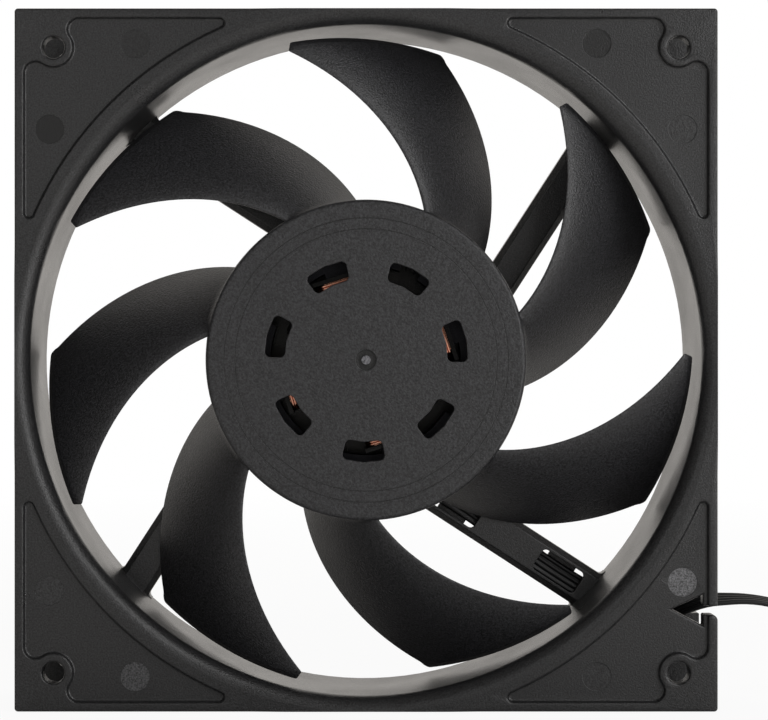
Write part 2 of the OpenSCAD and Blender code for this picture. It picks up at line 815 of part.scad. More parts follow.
// A point of the outer layer: round a rounded rectangle, three points to a corner
winding_room = 4.2 * wire_d;
turn_pitch = 1.6 * wire_d;
winding_turns = min(coil_turns, floor((coil_run - winding_room) / turn_pitch));
winding_last = 12 * winding_turns + 5;
winding_step = (coil_run - winding_room) / winding_last;
lead_in = -2.4;
lead_out = 1.4;
lead_bend = 0.5;
bend_at = 1.6 * wire_d;
function winding_point(k) =
  let (corner = floor(k / 3) % 4, a = 90 * corner + 45 * (k % 3),
    y = (corner == 0 || corner == 3 ? 1 : -1) * (wire_side - winding_corner),
    z = (corner < 2 ? 1 : -1) * (wire_top - winding_corner))
  [coil_in + 2 * wire_d + winding_step * k, y + winding_corner * cos(a), z + winding_corner * sin(a)];
winding_wire = concat(
  [[coil_in + fit_gap, wire_side, lead_in], [coil_in + fit_gap + wire_d, wire_side, lead_in],
    [coil_in + bend_at, wire_side, lead_in + lead_bend]],
  [for (k = [0:winding_last]) winding_point(k)],
  [[coil_out - bend_at, -wire_side, lead_out + lead_bend],
    [coil_out - fit_gap - wire_d, -wire_side, lead_out], [coil_out - fit_gap, -wire_side, lead_out]]
);

function unit(v) = v / norm(v);
function tangent(points, k) =
  unit(points[min(k + 1, len(points) - 1)] - points[max(k - 1, 0)]);
function square_to(v, t) = unit(v - (v * t) * t);

// Rings of points that follow a line, each turned by a guide that points across it
function rings(points, guides, section) = [
  for (k = [0:len(points) - 1])
    let (t = tangent(points, k), w = square_to(guides[k], t), n = cross(t, w))
    for (q = section) points[k] + q[0] * w + q[1] * n
];

// A closed solid through a row of rings with the same number of points, its ends closed by zigzag strips
module skin(points, sides) {
  last = len(points) / sides - 1;
  around = [
    for (k = [0:last - 1], m = [0:sides - 1])
      let (a = k * sides + m, b = k * sides + (m + 1) % sides)
      each [[a, a + sides, b], [b, a + sides, b + sides]]
  ];
  top = last * sides;
  zigzag = [for (m = [0:sides - 1]) m % 2 == 1 ? (m + 1) / 2 : (sides - m / 2) % sides];
  ends = [
    for (m = [0:sides - 3])
      let (a = zigzag[m], b = zigzag[m + 1 + m % 2], c = zigzag[m + 2 - m % 2])
      each [[a, b, c], [top + a, top + c, top + b]]
  ];
  polyhedron(points, concat(around, ends));
}

// The least distance between points of a line that lie at least some steps apart, less its thickness
function least_gap(points, apart, thickness) =
  let (last = len(points) - 1)
  min([for (i = [0:last - apart], j = [i + apart:last]) norm(points[i] - points[j])]) - thickness;

hexagon = [for (m = [0:5]) wire_d / 2 * [cos(60 * m), sin(60 * m)]];
wire_end = len(winding_wire) - 1;
winding_guides = [
  for (k = [0:wire_end]) k < 2 ? [0, 0, -1] : k > wire_end - 2 ? [0, 0, 1] : [1, 0, 0]
];
echo(str("Least gap of a coil's outer layer to itself, mm: ", least_gap(winding_wire, 8, wire_d)));

// The outer layer of each coil, one unbroken wire from flange to flange
module coil_outer_layers() {
  color("#b8682e") stand() at_coils() skin(rings(winding_wire, winding_guides, hexagon), 6);
}

module winding_pins() {
  color("#c8c8c8") stand() at_pins() rod(pin_r, board_bottom - solder_end, coil_mid - rise_in - pin_r);
}

// Blades: an aerofoil section wrapped round the axis at each radius
chord_steps = 8;
span_steps = 8;
root_gap = 0.1;
root_r = hub_r + root_gap;
span = tip_r - max(trail_corner_r, 1.2 * tip_band) - root_r;
blade_radii = concat(
  [for (k = [0:span_steps]) root_r + span * k / span_steps],
  [tip_r - tip_band, tip_r - tip_band / 3, tip_r]
);
function leading_angle(r) = blade_phase + blade_sweep * (r - hub_r);
function chord_angle(r) = blade_chord + blade_widen * (r - hub_r);
function blade_t(r) = blade_root_t + (blade_tip_t - blade_root_t) * (r - hub_r) / (tip_r - hub_r);
// Share of the chord that a round corner of radius c takes away at radius r
function corner_cut(r, c) =
  let (d = max(0, r - tip_r + c))
  (c - sqrt(c * c - d * d)) / (r * chord_angle(r) * PI / 180);
// Thickness of a common aerofoil at a share of its chord, as a share of the greatest
function aerofoil(e) =
  2.969 * sqrt(e) - 1.26 * e - 3.516 * pow(e, 2) + 2.843 * pow(e, 3) - 1.036 * pow(e, 4);
function blade_point(r, step, side) =
  let (e = (1 - cos(180 * step / chord_steps)) / 2,
    s = corner_cut(r, lead_corner_r) * (1 - e) + (1 - corner_cut(r, trail_corner_r)) * e,
    keep = side > 0 ? min(1, (tip_r - r) / tip_band) : 1,
    h = side * keep * (blade_t(r) * aerofoil(e) + blade_edge_t * e) / 2,
    run = r * chord_angle(r) * PI / 180,
    fall = blade_fall * (1 - 4 * blade_camber * (1 - 2 * s)),
    slope = norm([run, fall]),
    a = leading_angle(r) - chord_angle(r) * s - h * fall / slope / r * 180 / PI,
    z = leading_z - blade_fall * (s - 4 * blade_camber * s * (1 - s)) + h * run / slope)
  [r * cos(a), r * sin(a), z];
function blade_ring(r) = concat(
  [for (k = [0:chord_steps]) blade_point(r, k, 1)],
  [for (k = [chord_steps:-1:1]) blade_point(r, k, -1)]
);

// The blades, moulded on the hub and drawn from just outside its skirt
module impeller_blades() {
  color("#2f2f32") stand() for (k = [0:blade_count - 1]) rotate(360 / blade_count * k)
    skin([for (r = blade_radii) each blade_ring(r)], 2 * chord_steps + 1);
}

// Half section of the hub: face, skirt, ring wall for the yoke and boss for the shaft
module hub_section() {
  edge = [hub_r - hub_edge_r, hub_front - hub_edge_r];
  difference() {
    union() {
      translate([0, hub_under]) square([edge[0], hub_face_t]);
      translate([0, hub_under]) square([hub_r, edge[1] - hub_under]);
      translate(edge) circle(hub_edge_r, $fn = 48);
    }
    for (r = [inner_line_r, outer_line_r])
      translate([r - line_w / 2, hub_front - line_depth]) square([line_w, line_depth + over]);
    translate([gate_nub_r, hub_front - gate_depth]) square([gate_r - gate_nub_r, gate_depth + over]);
  }
  translate([hub_r - hub_wall, skirt_bottom]) square([hub_wall, edge[1] - skirt_bottom]);
  translate([ring_in, yoke_bottom + over]) square([yoke_ring_t, hub_under - yoke_bottom]);
  translate([0, hub_boss_bottom]) square([hub_boss_r, hub_under - hub_boss_bottom + over]);
}

module vent_slot() {
  offset(r = slot_corner, $fn = 24) offset(delta = -slot_corner) intersection() {
    difference() {
      circle(slot_out);
      circle(slot_in);
    }
    ring_sector(slot_out, slot_angle);
  }
}

module impeller_hub() {
  rib_count = 2 * blade_count;
  rib_bottom = yoke_bottom + 2;
  color("#2f2f32") stand() difference() {
    union() {
      rotate_extrude($fn = 144) hub_section();
      for (k = [0:rib_count - 1]) rotate(360 / rib_count * k)
        block([ring_out - over, -hub_rib_t / 2, rib_bottom],
          [hub_r - hub_wall + over, hub_rib_t / 2, hub_under + over]);
    }
    for (k = [0:blade_count - 1]) rotate(slot_phase + 360 / blade_count * k)
      translate([0, 0, hub_under - over]) linear_extrude(hub_face_t + 2 * over) vent_slot();
    rod(bush_d / 2 + fit_gap, hub_boss_bottom - over, bush_top);
  }
}

// A steel ring with a flange turned in at its front
module rotor_yoke() {
  color("#77797c") stand() union() {
    pipe(yoke_in, yoke_out, yoke_bottom, hub_under);
    pipe(slot_out + vent_gap, yoke_out, hub_under - yoke_t, hub_under);
  }
}

module rotor_magnet() {
  color("#3b3532") stand()
    pipe(magnet_in, magnet_out, coil_mid - magnet_h / 2, coil_mid + magnet_h / 2);
}

// The shaft has a rounded lower end and a groove for its retaining clip
module shaft() {
  r = shaft_d / 2;
  dome = 1.6 * r;
  clip_top = retainer_bottom + retainer_t;
  color("#c4c6c9") stand() union() {
    intersection() {
      translate([0, 0, shaft_bottom + dome]) sphere(dome);
      rod(r, shaft_bottom, retainer_bottom - fit_gap);
    }
    rod(r - groove_depth, retainer_bottom - over, clip_top + over);
    rod(r, clip_top + fit_gap, bush_top);
  }
}

module shaft_bush() {
  color("#c9a24e") stand() pipe(shaft_d / 2 + fit_gap, bush_d / 2, bush_bottom, bush_top);
}

module shaft_clip() {
  groove_r = shaft_d / 2 - groove_depth;
  color("#e8e8e4") stand()
    pipe(groove_r + fit_gap, shaft_d / 2 + clip_reach, retainer_bottom, retainer_bottom + retainer_t);
}

// The flat cable: one row of rings along the whole route, cut into its stretches
route_points = [for (p = route) [p[0], p[1], p[2]]];
route_guides = [for (p = route) [0, cos(p[3]), sin(p[3])]];
ribbon_half = [cable_w / 2, wire_pitch / 2];
ribbon_bevel = wire_pitch / 4;
ribbon_section = [
  [ribbon_half[0], -ribbon_bevel], [ribbon_half[0], ribbon_bevel],
  [ribbon_half[0] - ribbon_bevel, ribbon_half[1]], [ribbon_bevel - ribbon_half[0], ribbon_half[1]],
  [-ribbon_half[0], ribbon_bevel], [-ribbon_half[0], -ribbon_bevel],
  [ribbon_bevel - ribbon_half[0], -ribbon_half[1]], [ribbon_half[0] - ribbon_bevel, -ribbon_half[1]]
];
ribbon_rings = rings(route_points, route_guides, ribbon_section);
coil_points = [for (k = [coil_first:coil_last]) route_points[k]];
echo(str("Least gap of the cable's coil to itself, mm: ", least_gap(coil_points, 12, wire_pitch)));

module ribbon(first, last) {
  sides = len(ribbon_section);
  skin([for (k = [first * sides:last * sides + sides - 1]) ribbon_rings[k]], sides);
}

module cable_in_strut() {
  color("#1b1b1d") ribbon(0, held_last);
}

// The stripped wire ends, bent up through the circuit board
module wire_ends() {
  rise = back + cable_rise;
  color("#c98a4a") stand() at_wire_ends() translate([-wire_bend, 0, 0]) {
    translate([0, 0, rise]) rotate([0, 90, 0]) cylinder(r = strand_r, h = wire_bend);
    translate([0, 0, rise]) sphere(strand_r, $fn = 24);
    rod(strand_r, rise, board_top + solder_end);
  }
}

module cable_lead() {
  color("#1b1b1d") ribbon(held_last, coil_first);
}

module cable_coil() {
  color("#1b1b1d") ribbon(coil_first, coil_last);
}

module cable_tail() {
  color("#1b1b1d") ribbon(coil_last, route_last);
}

// A plastic tie round the two front runs of the folded cable, drawn from its middle outwards
module cable_tie() {
  slack = 0.08;
  side_slack = 0.35;
  tied_turn = 0.5;
  head = [2.2, 0.5, 1];
  outer = coil_r - tied_turn * coil_pitch + wire_pitch / 2 + slack;
  inner = outer - slack - coil_pitch - wire_pitch - side_slack;
  low = coil_lift - slack;
  high = coil_lift + cable_w + slack;
  half = tie_w / 2;
  color("#26262a") translate([coil_centre[0], coil_centre[1], 0]) rotate(-90) difference() {
    union() {
      block([inner - tie_t, -half, low - tie_t], [outer + tie_t, half, high + tie_t]);
      block([outer, -half - head[1], low + head[2]], [outer + head[0], half + head[1], high - head[2]]);
    }
    block([inner, -tie_w, low], [outer, tie_w, high]);
  }
}

module at_contacts() {
  for (k = [0:wire_count - 1])
    translate([plug_front, plug_at[1] + (k - (wire_count - 1) / 2) * contact_pitch, plug_z]) children();
}

// The connector's housing: a passage and a latch window for each contact, and two guide ribs on top
module connector_housing() {
  half = contact_pitch * wire_count / 2;
  passage = contact_w / 2 + contact_gap;
  window = [5, 8.5];
  window_half = 0.6;
  rib_len = plug_len - 2 * plug_wall;
  color("#1d1d1f") difference() {
    union() {
      block([plug_front, plug_at[1] - half, 0], [plug_at[0], plug_at[1] + half, plug_h]);
      for (side = [-1, 1]) translate([plug_front, plug_at[1] + side * contact_pitch, plug_h])
        block([0, -plug_rib_w / 2, -over], [rib_len, plug_rib_w / 2, plug_rib_h]);
    }
    at_contacts() {
      block([-over, -passage, -passage], [plug_len - plug_wall, passage, passage]);
      block([window[0], -window_half, 0], [window[1], window_half, plug_h]);
    }
  }
}

module connector_contacts() {
  outer = contact_w / 2;
  inner = outer - contact_wall;
  color("#c9b46a") at_contacts() difference() {
    block([contact_inset, -outer, -outer], [plug_len - plug_wall - contact_inset, outer, outer]);
    block([0, -inner, -inner], [plug_len, inner, inner]);
  }
}

frame();
bearing_tube();
bearing_cap();
thrust_pad();
bearing_sleeve();
oil_seal();
circuit_board();
hall_sensor();
driver_chip();
board_capacitors();
board_resistors();
lower_bobbin();
stator_core();
upper_bobbin();
coil_inner_layers();
coil_outer_layers();
winding_pins();
impeller_hub();
impeller_blades();
rotor_yoke();
rotor_magnet();
shaft();
shaft_bush();
shaft_clip();
cable_in_strut();
wire_ends();
cable_lead();
cable_coil();
cable_tail();
cable_tie();
connector_housing();
connector_contacts();
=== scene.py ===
import bpy
import bmesh
import math
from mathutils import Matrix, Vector


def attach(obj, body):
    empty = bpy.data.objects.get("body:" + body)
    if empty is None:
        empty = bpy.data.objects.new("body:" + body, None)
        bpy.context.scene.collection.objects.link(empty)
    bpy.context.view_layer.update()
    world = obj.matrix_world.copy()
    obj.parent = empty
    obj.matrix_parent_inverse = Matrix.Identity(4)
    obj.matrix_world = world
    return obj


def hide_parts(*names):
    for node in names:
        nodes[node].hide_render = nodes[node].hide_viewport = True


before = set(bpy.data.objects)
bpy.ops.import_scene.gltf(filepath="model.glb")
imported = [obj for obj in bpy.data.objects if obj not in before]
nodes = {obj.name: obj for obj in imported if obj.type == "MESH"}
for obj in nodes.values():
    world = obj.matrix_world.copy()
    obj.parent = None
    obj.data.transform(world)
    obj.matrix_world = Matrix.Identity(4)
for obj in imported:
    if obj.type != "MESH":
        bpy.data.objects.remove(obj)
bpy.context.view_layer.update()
bpy.ops.object.select_all(action="DESELECT")
print("frame loaded,", len(nodes), "nodes")

mm = 0.001
axisHeight = 70  # mm from the floor to the fan's axis
hair = 0.01  # mm by which a point may miss a face that it lies on


# The fan's own axes, x right, y up and z to the front, to the scene's metres
def place(x, y, z):
    return Vector((x, -z, y + axisHeight)) * mm


# And back
def fanAxes(point):
    return (point.x / mm, point.z / mm - axisHeight, -point.y / mm)


def within(value, span):
    return span[0] < value < span[1]


def hexColor(code):  # sRGB hex to linear
    parts = [int(code[i:i + 2], 16) / 255 for i in (1, 3, 5)]
    linear = [p / 12.92 if p <= 0.04045 else ((p + 0.055) / 1.055) ** 2.4 for p in parts]
    return (*linear, 1)


def addNode(tree, kind, values={}, links={}, **settings):
    made = tree.nodes.new(kind)
    for name, value in settings.items():
        setattr(made, name, value)
    for socket, value in values.items():
        made.inputs[socket].default_value = value
    for socket, source in links.items():
        tree.links.new(source, made.inputs[socket])
    return made


# Camera: straight on, its axis left of the picture's middle
camera = {
    "place": (-4.8, 0, 443.5),  # mm, in the fan's own axes
    "lens": 101.35,
    "sensor": 36,
    "shift": 0.0547,
}
camData = bpy.data.cameras.new("camera")
camData.lens = camera["lens"]
camData.sensor_width = camera["sensor"]
camData.shift_x = camera["shift"]
cam = bpy.data.objects.new("camera", camData)
bpy.context.scene.collection.objects.link(cam)
cam.location = place(*camera["place"])
cam.rotation_euler = (math.pi / 2, 0, 0)
bpy.context.scene.camera = cam
print("camera set")


def select(obj):
    bpy.ops.object.select_all(action="DESELECT")
    obj.select_set(True)
    bpy.context.view_layer.objects.active = obj


def editAll(obj):
    select(obj)
    bpy.ops.object.mode_set(mode="EDIT")
    bpy.ops.mesh.select_all(action="SELECT")


def newMesh(name, points, faces):
    mesh = bpy.data.meshes.new(name)
    mesh.from_pydata([tuple(p) for p in points], [], faces)
    obj = bpy.data.objects.new(name, mesh)
    bpy.context.scene.collection.objects.link(obj)
    return obj


def applyModifier(obj, kind, **settings):
    select(obj)
    made = obj.modifiers.new(kind.lower(), kind)
    for name, value in settings.items():
        setattr(made, name, value)
    bpy.ops.object.modifier_apply(modifier=made.name)


weld = {
    "doubles": 0.002,  # mm
    "flat": 0.4,  # degrees up to which neighbouring faces count as one
}


# A node's solid as one welded mesh, to be finished as a piece of its own
def weldedCopy(name, source):
    data = nodes[source].data.copy()
    data.transform(nodes[source].matrix_world)
    obj = bpy.data.objects.new(name, data)
    bpy.context.scene.collection.objects.link(obj)
    editAll(obj)
    bpy.ops.mesh.customdata_custom_splitnormals_clear()
    bpy.ops.mesh.remove_doubles(threshold=weld["doubles"] * mm)
    bpy.ops.mesh.dissolve_limited(angle_limit=math.radians(weld["flat"]))
    bpy.ops.mesh.quads_convert_to_tris(quad_method="BEAUTY", ngon_method="BEAUTY")
    bpy.ops.mesh.normals_make_consistent(inside=False)
    bpy.ops.object.mode_set(mode="OBJECT")
    return obj


# Rounds the edges that are sharper than an angle, as a mould leaves them.
# Share tells, from an edge's middle, how much of the width it has room for.
def softenEdges(obj, width, angle, share=lambda x, y, z: 1, segments=2):
    bm = bmesh.new()
    bm.from_mesh(obj.data)
    weight = bm.edges.layers.float.new("bevel_weight_edge")
    for edge in bm.edges:
        if len(edge.link_faces) == 2 and edge.calc_face_angle() > math.radians(angle):
            edge[weight] = share(*fanAxes((edge.verts[0].co + edge.verts[1].co) / 2))
    bm.to_mesh(obj.data)
    bm.free()
    applyModifier(
        obj, "BEVEL", width=width * mm, segments=segments, limit_method="WEIGHT",
        use_clamp_overlap=False, loop_slide=False,
    )
    select(obj)
    bpy.ops.object.shade_smooth_by_angle(angle=math.radians(angle))
    applyModifier(obj, "WEIGHTED_NORMAL", keep_sharp=True, weight=80)


# Flat cable: four wires side by side, along the route of its solids
cable = {
    "wires": 4,
    "pitch": 1.1,  # mm, wire to wire
    "web": 0.32,  # half the thickness between two wires
    "strutTurn": -33,
    "strutOffset": -15,
    "strutDepth": 11.3,
    "hankCentre": (124, 0),
    "hankRun": 34,
    "loopRadius": 12.8,
    "loopPitch": 1.9,
    "loops": 2.25,
    "loopPoints": 24,
    "hankZ": 2.7,
    "plugZ": 2.9,
    "fine": 3,  # rings for each step of the route
    "leastGap": 0.01,  # mm, at the route's ends, which have no point before or after them
    "endSteps": 8,  # points round the half of an outer wire, and of an inner one
    "wireSteps": 6,
    "smooth": 50,  # degrees up to which the sides of a tube are shaded as one
    "tieRounding": 0.1,
    "plugRounding": 0.08,
    "plugRibs": (1.8, 3.4),  # mm from the middle, where the ribs stand close to the windows
    "ribShare": 0.35,
    "sharp": 35,
}
strutSteps = [
    (16.4, 0.2), (22, 0.2), (29, 0.5), (36, 0.5), (42, 0.2),
    (48, -0.2), (54, -0.5), (62, -0.5), (68.5, -0.2),
]
leadSteps = [
    (-17.6, 11.2, 18.2, 90), (-14.4, 9.7, 16.3, 78), (-11, 6.9, 16, 62), (-7.4, 4, 17.3, 46),
    (-3.8, 1.6, 19.4, 34), (0, 0.2, 20.7, 27), (4, 0, 21, 20), (8, 0, 21, 14), (12.5, 0, 20.4, 12),
    (17, 0.4, 19, 16), (21.5, 1.8, 16.9, 28), (26, 4.2, 14.4, 44), (30.5, 7.2, 11.9, 60),
    (35, 10.2, 9.6, 74), (39.5, 12.2, 7.3, 84), (44.5, 12.8, 5, 90), (49.5, 12.9, 3.3, 90),
]
tailSteps = [
    (25, -3.4, 90), (22.8, -6.6, 88), (18.8, -7.9, 80), (14, -7, 62), (9.4, -4.6, 40), (4.8, -2, 18),
    (0.4, -0.4, 4), (-4, 0, 0), (-8, 0, 0),
]


def strutPoint(along, across):
    c, s = math.cos(math.radians(cable["strutTurn"])), math.sin(math.radians(cable["strutTurn"]))
    y = across + cable["strutOffset"]
    return (along * c - y * s, cable["strutDepth"], along * s + y * c + axisHeight, 90)


def hankPoint(k):
    turn = k / cable["loopPoints"]
    r = cable["loopRadius"] - cable["loopPitch"] * turn
    a = math.radians(90 - 360 * turn)
    c = round(math.cos(a), 9)
    side = (c > 0) - (c < 0)
    x, y = cable["hankCentre"]
    return (x + cable["hankRun"] / 2 * side + r * c, y + r * math.sin(a), cable["hankZ"], 90)


def tailPoint(k):
    x, y, roll = tailSteps[k]
    rise = (cable["plugZ"] - cable["hankZ"]) * min(1, k / (len(tailSteps) - 2))
    return (cable["hankCentre"][0] + x, cable["hankCentre"][1] + y, cable["hankZ"] + rise, roll)


heldRoute = [strutPoint(*p) for p in strutSteps]
leadRoute = [(axisHeight + x, y, z, roll) for x, y, z, roll in leadSteps]
hankRoute = [hankPoint(k) for k in range(round(cable["loops"] * cable["loopPoints"]) + 1)]
tailRoute = [tailPoint(k) for k in range(len(tailSteps))]
route = heldRoute + leadRoute + hankRoute + tailRoute
heldLast = len(heldRoute) - 1


# A smooth line through the route's points, with its roll as a fourth number
def smoothRoute(steps, fine):
    smooth = []
    for k in range(len(steps) - 1):
        ends = [steps[max(k - 1, 0)], steps[k], steps[k + 1], steps[min(k + 2, len(steps) - 1)]]
        spans = [(Vector(q[:3]) - Vector(p[:3])).length for p, q in zip(ends, ends[1:])]
        gaps = [max(span, cable["leastGap"]) ** 0.5 for span in spans]
        for j in range(fine):
            t = j / fine
            point = []
            for a, b, c, d in zip(*ends):
                first = (b - a) / gaps[0] - (c - a) / (gaps[0] + gaps[1]) + (c - b) / gaps[1]
                last = (c - b) / gaps[1] - (d - b) / (gaps[1] + gaps[2]) + (d - c) / gaps[2]
                first, last = first * gaps[1], last * gaps[1]
                bend = 3 * (c - b) - 2 * first - last
                point.append(b + t * (first + t * (bend + t * (2 * (b - c) + first + last))))
            smooth.append(tuple(point))
    return smooth + [steps[-1]]


def ribbonSection():
    r = cable["pitch"] / 2
    dip = math.degrees(math.asin(cable["web"] / r))
    half = []
    for w in range(cable["wires"]):
        first, last = w == 0, w == cable["wires"] - 1
        start, stop = (180 if first else 180 - dip), (0 if last else dip)
        count = cable["endSteps"] if first or last else cable["wireSteps"]
        x = (w - (cable["wires"] - 1) / 2) * cable["pitch"]
        angles = [math.radians(start + (stop - start) * j / count) for j in range(count + 1)]
        half += [(x + r * math.cos(a), r * math.sin(a)) for a in angles]
    return half + [(x, -y) for x, y in reversed(half[1:-1])]


# A closed tube of rings; each ring's points lie across and up from a point of the line
def sweep(name, points, guides, section):
    rings = []
    for k, p in enumerate(points):
        along = (points[min(k + 1, len(points) - 1)] - points[max(k - 1, 0)]).normalized()
        across = (guides[k] - guides[k].dot(along) * along).normalized()
        up = along.cross(across)
        rings += [p + (u * across + v * up) * mm for u, v in section]
    n = len(section)
    faces = [(k * n + m, k * n + (m + 1) % n, (k + 1) * n + (m + 1) % n, (k + 1) * n + m)
             for k in range(len(points) - 1) for m in range(n)]
    last = (len(points) - 1) * n
    faces += [tuple(reversed(range(n))), tuple(range(last, last + n))]
    obj = newMesh(name, rings, faces)
    editAll(obj)
    bpy.ops.mesh.normals_make_consistent(inside=False)
    bpy.ops.object.mode_set(mode="OBJECT")
    bpy.ops.object.shade_smooth_by_angle(angle=math.radians(cable["smooth"]))
    return obj


def sweepRibbon(name, steps):
    line = smoothRoute(steps, cable["fine"])
    points = [Vector(p[:3]) * mm for p in line]
    guides = [Vector((0, math.cos(math.radians(p[3])), math.sin(math.radians(p[3])))) for p in line]
    return sweep(name, points, guides, ribbonSection()), points


def plugShare(x, y, z):
    return cable["ribShare"] if within(abs(z), cable["plugRibs"]) else 1


cableHeld = sweepRibbon("cable_held", route[:heldLast + 1])[0]
cableFree, freeLine = sweepRibbon("cable_free", route[heldLast:])
cableTie = weldedCopy("cable_tie_strap", "cable_tie")
softenEdges(cableTie, cable["tieRounding"], cable["sharp"])
plug = weldedCopy("connector_body", "connector_housing")
softenEdges(plug, cable["plugRounding"], cable["sharp"], plugShare)
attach(cableHeld, "frame")
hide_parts("cable_in_strut")
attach(cableFree, "frame")
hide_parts("cable_lead", "cable_coil", "cable_tail")
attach(cableTie, "frame")
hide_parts("cable_tie")
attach(plug, "frame")
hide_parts("connector_housing")

# Frame: the moulding with its edges rounded
moulding = {
    "rounding": 0.48,  # mm, on the rims of the front
    "sharp": 40,
    "segments": 3,
    "front": 13.5,  # height of the front along the axis
    "panelDepth": 1,
    "side": 70,  # half the width
    "rimFade": (15.2, 23),  # mm from a side's middle, between which the rounding grows to its full width
    "rimSteps": 13,
    "rimLeast": 0.15,  # share of the rounding where the lip cuts the rim
    "markRadius": 2.9,
    "markDepth": (0.05, 0.3),  # mm under the panel, between which a mark's floor lies
    "markFacing": 0.9,  # how squarely it looks to the front
    "markShare": 0.1,
    "strutTop": -8.4,
    "strutReach": 75.2,
    "strutShare": 0.25,
    "flangeInside": 9.5,
    "backShare": 0.45,
    "near": 0.3,  # mm within which an edge counts as lying at a height
    "slack": 0.1,
}
marks = {  # place of an ejector mark on the front and its painted light and shade: how much lighter its floor is drawn than the panel, for the way each mark catches the light
    (-63.1, 46): -0.9, (46, 63.1): -0.8, (-46, 63.1): -0.35, (63.1, 46): 0,
    (-63.1, -46): 0.3, (-46, -63.1): 2, (63.1, -44.3): 5, (46, -63.1): 0,
}


def markAt(x, y, reach):
    return next((m for m in marks if math.hypot(x - m[0], y - m[1]) < reach), None)


# Cuts the front's rim into short edges beside the middle of each side, where the lip comes close
def splitRim(obj):
    bm = bmesh.new()
    bm.from_mesh(obj.data)
    first, last = moulding["rimFade"]
    pitch = (last - first) / moulding["rimSteps"]
    steps = [first + pitch * k for k in range(moulding["rimSteps"] + 1)]
    for step in [s * t for t in steps for s in (1, -1)]:
        for edge in list(bm.edges):
            a, b = [fanAxes(v.co) for v in edge.verts]
            if min(a[2], b[2]) < moulding["front"] - hair:
                continue
            for k in (0, 1):
                onSide = min(abs(a[k]), abs(b[k])) > moulding["side"] - hair and a[k] * b[k] > 0
                start, stop = a[1 - k], b[1 - k]
                if onSide and (start - step) * (stop - step) < -hair:
                    bmesh.utils.edge_split(edge, edge.verts[0], (step - start) / (stop - start))
                    break
    bmesh.ops.triangulate(bm, faces=[f for f in bm.faces if len(f.verts) > 3], ngon_method="BEAUTY")
    bm.to_mesh(obj.data)
    bm.free()


def frameShare(x, y, z):
    panel = moulding["front"] - moulding["panelDepth"]
    if z > panel - moulding["near"] and markAt(x, y, moulding["markRadius"] + moulding["slack"]):
        return moulding["markShare"]
    if math.hypot(x, y) < moulding["strutReach"] and z < moulding["strutTop"]:
        return moulding["strutShare"]
    if abs(abs(z) - moulding["flangeInside"]) < moulding["near"]:  # the duct nearly reaches the side here
        return 0
    if z < panel - moulding["slack"]:
        return moulding["backShare"]
    if max(abs(x), abs(y)) < moulding["side"] - hair:
        return 1
    first, last = moulding["rimFade"]
    return min(1, max(moulding["rimLeast"], (min(abs(x), abs(y)) - first) / (last - first)))


frameBody = weldedCopy("frame_moulding", "frame")
splitRim(frameBody)
softenEdges(frameBody, moulding["rounding"], moulding["sharp"], frameShare, moulding["segments"])
# Painted light and shade: the floors of the ejector marks drawn lighter or darker than the panel
painted_light = frameBody.data.attributes.new("painted_light", "FLOAT", "FACE")
for face in frameBody.data.polygons:
    x, y, z = fanAxes(face.center)
    mark = markAt(x, y, moulding["markRadius"])
    depth = moulding["front"] - moulding["panelDepth"] - z
    if mark and -face.normal.y > moulding["markFacing"] and within(depth, moulding["markDepth"]):
        painted_light.data[face.index].value = marks[mark]
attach(frameBody, "frame")
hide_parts("frame")
print("frame moulding,", len(frameBody.data.polygons), "faces")

# Impeller: the hub, and blades with the solids' aerofoil in finer steps and a fillet at the root
blade = {
    "count": 7,
    "hubRadius": 32.1,
    "tipRadius": 65.5,
    "phase": 17.3,
    "sweep": 1.118,  # degrees for each mm of radius
    "chord": 27.9,
    "widen": 0.048,  # degrees for each mm of radius
    "leadingZ": 10.8,
    "fall": 17.8,
    "camber": 0.08,
    "rootThick": 2.3,
    "tipThick": 1.5,
    "edgeThick": 0.7,
    "tipBand": 0.9,
    "leadCut": 3,  # mm off the pointed leading corner at the tip, which leaves it blunt
    "leadSlope": 1.7,
    "leadReach": 6,
    "leadSoft": 0.06,
    "corner": 0.35,
    "ear": 0.6,  # mm by which the trailing corner stands out over the last stretch
    "earRun": 1.8,
    "fillet": 0.9,
    "filletFade": 6,  # the fillet is whole from one sixth of the chord
    "chordSteps": 22,
    "bodySteps": 22,
    "sharp": 40,
}
foilTerms = (2.969, -1.26, -3.516, 2.843, -1.036)  # thickness of a common aerofoil along its chord
rootRadii = [31.2, 31.2, 31.8, 32.1, 32.18, 32.3, 32.5, 32.8, 33.2]  # mm, close where the fillet is
tipRadii = [
    61, 61.8, 62.4, 62.9, 63.3, 63.55, 63.7, 63.85, 64, 64.2, 64.4, 64.6, 64.8, 65,
    65.15, 65.28, 65.38, 65.45, 65.5, 65.5,
]
bodyRun = tipRadii[0] - rootRadii[-1]
bodyRadii = [rootRadii[-1] + bodyRun * k / blade["bodySteps"] for k in range(1, blade["bodySteps"])]
bladeRadii = rootRadii + bodyRadii + tipRadii


def chordAngle(r):
    return blade["chord"] + blade["widen"] * (r - blade["hubRadius"])


# What the leading and the trailing corner lose at a radius, as parts of the chord
def cornerCuts(r):
    left = blade["tipRadius"] - r
    d = max(0, blade["corner"] - left)
    rounded = blade["corner"] - math.sqrt(max(0, blade["corner"] ** 2 - d * d))
    d = blade["leadCut"] - blade["leadSlope"] * left
    blunt = (d + math.sqrt(d * d + blade["leadSoft"])) / 2 if left < blade["leadReach"] else 0
    rise = min(1, max(0, 1 - left / blade["earRun"]))
    run = r * math.radians(chordAngle(r))
    return (rounded + blunt) / run, (rounded - blade["ear"] * rise * rise * (3 - 2 * rise)) / run


